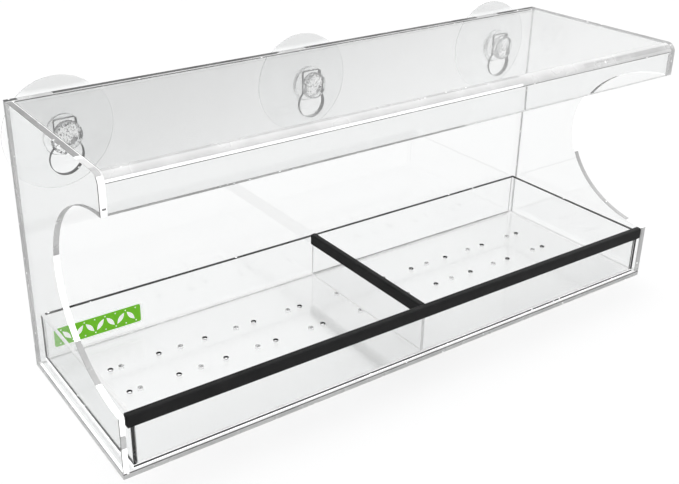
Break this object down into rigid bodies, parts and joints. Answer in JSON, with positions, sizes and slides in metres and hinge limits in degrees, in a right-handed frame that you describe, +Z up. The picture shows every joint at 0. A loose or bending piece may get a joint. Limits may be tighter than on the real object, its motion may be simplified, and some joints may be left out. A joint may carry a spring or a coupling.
{
  "type": "window bird feeder",
  "caption": "Clear acrylic window bird feeder: roofed housing with cut-out sides, suction cups in keyholes, and a divided seed tray that slides out of the front.",
  "frame": {"origin": "on the surface that the base stands on, at the middle of the whole feeder's width and depth", "axes": "+Z up, +X to the right as seen from the open front, +Y towards the window that the suction cups hold; the open front faces -Y"},
  "size_m": [0.3826, 0.13, 0.1665],
  "materials": {
    "clear_acrylic": "clear, polished faces, slightly frosted cut edges",
    "clear_tray_acrylic": "clear, polished faces, darker cut edges",
    "black_rubber": "matt black extruded edge trim",
    "clear_soft_vinyl": "soft clear moulded vinyl, faintly hazy",
    "printed_label": "thin printed film label"
  },
  "bodies": {
    "housing": {"base_panel": "clear_acrylic", "back_panel": "clear_acrylic", "left_side_panel": "clear_acrylic", "right_side_panel": "clear_acrylic", "roof_and_lip": "clear_acrylic"},
    "tray": {"tray_floor": "clear_tray_acrylic", "tray_front_wall": "clear_tray_acrylic", "tray_back_wall": "clear_tray_acrylic", "tray_left_wall": "clear_tray_acrylic", "tray_right_wall": "clear_tray_acrylic", "tray_divider": "clear_tray_acrylic", "front_trim_strip": "black_rubber", "divider_trim_strip": "black_rubber"},
    "left_cup": {"left_suction_cup": "clear_soft_vinyl"},
    "middle_cup": {"middle_suction_cup": "clear_soft_vinyl"},
    "right_cup": {"right_suction_cup": "clear_soft_vinyl"}
  },
  "joints": [
    {"name": "tray_slide", "type": "slide", "parent": "housing", "child": "tray", "axis": [0, -1, 0], "range_m": [0, 0.115]},
    {"name": "left_cup_slide", "type": "slide", "parent": "housing", "child": "left_cup", "axis": [0, 0, 1], "range_m": [-0.0149, 0.0029]},
    {"name": "middle_cup_slide", "type": "slide", "parent": "housing", "child": "middle_cup", "axis": [0, 0, 1], "range_m": [-0.0149, 0.0029]},
    {"name": "right_cup_slide", "type": "slide", "parent": "housing", "child": "right_cup", "axis": [0, 0, 1], "range_m": [-0.0149, 0.0029]}
  ]
}
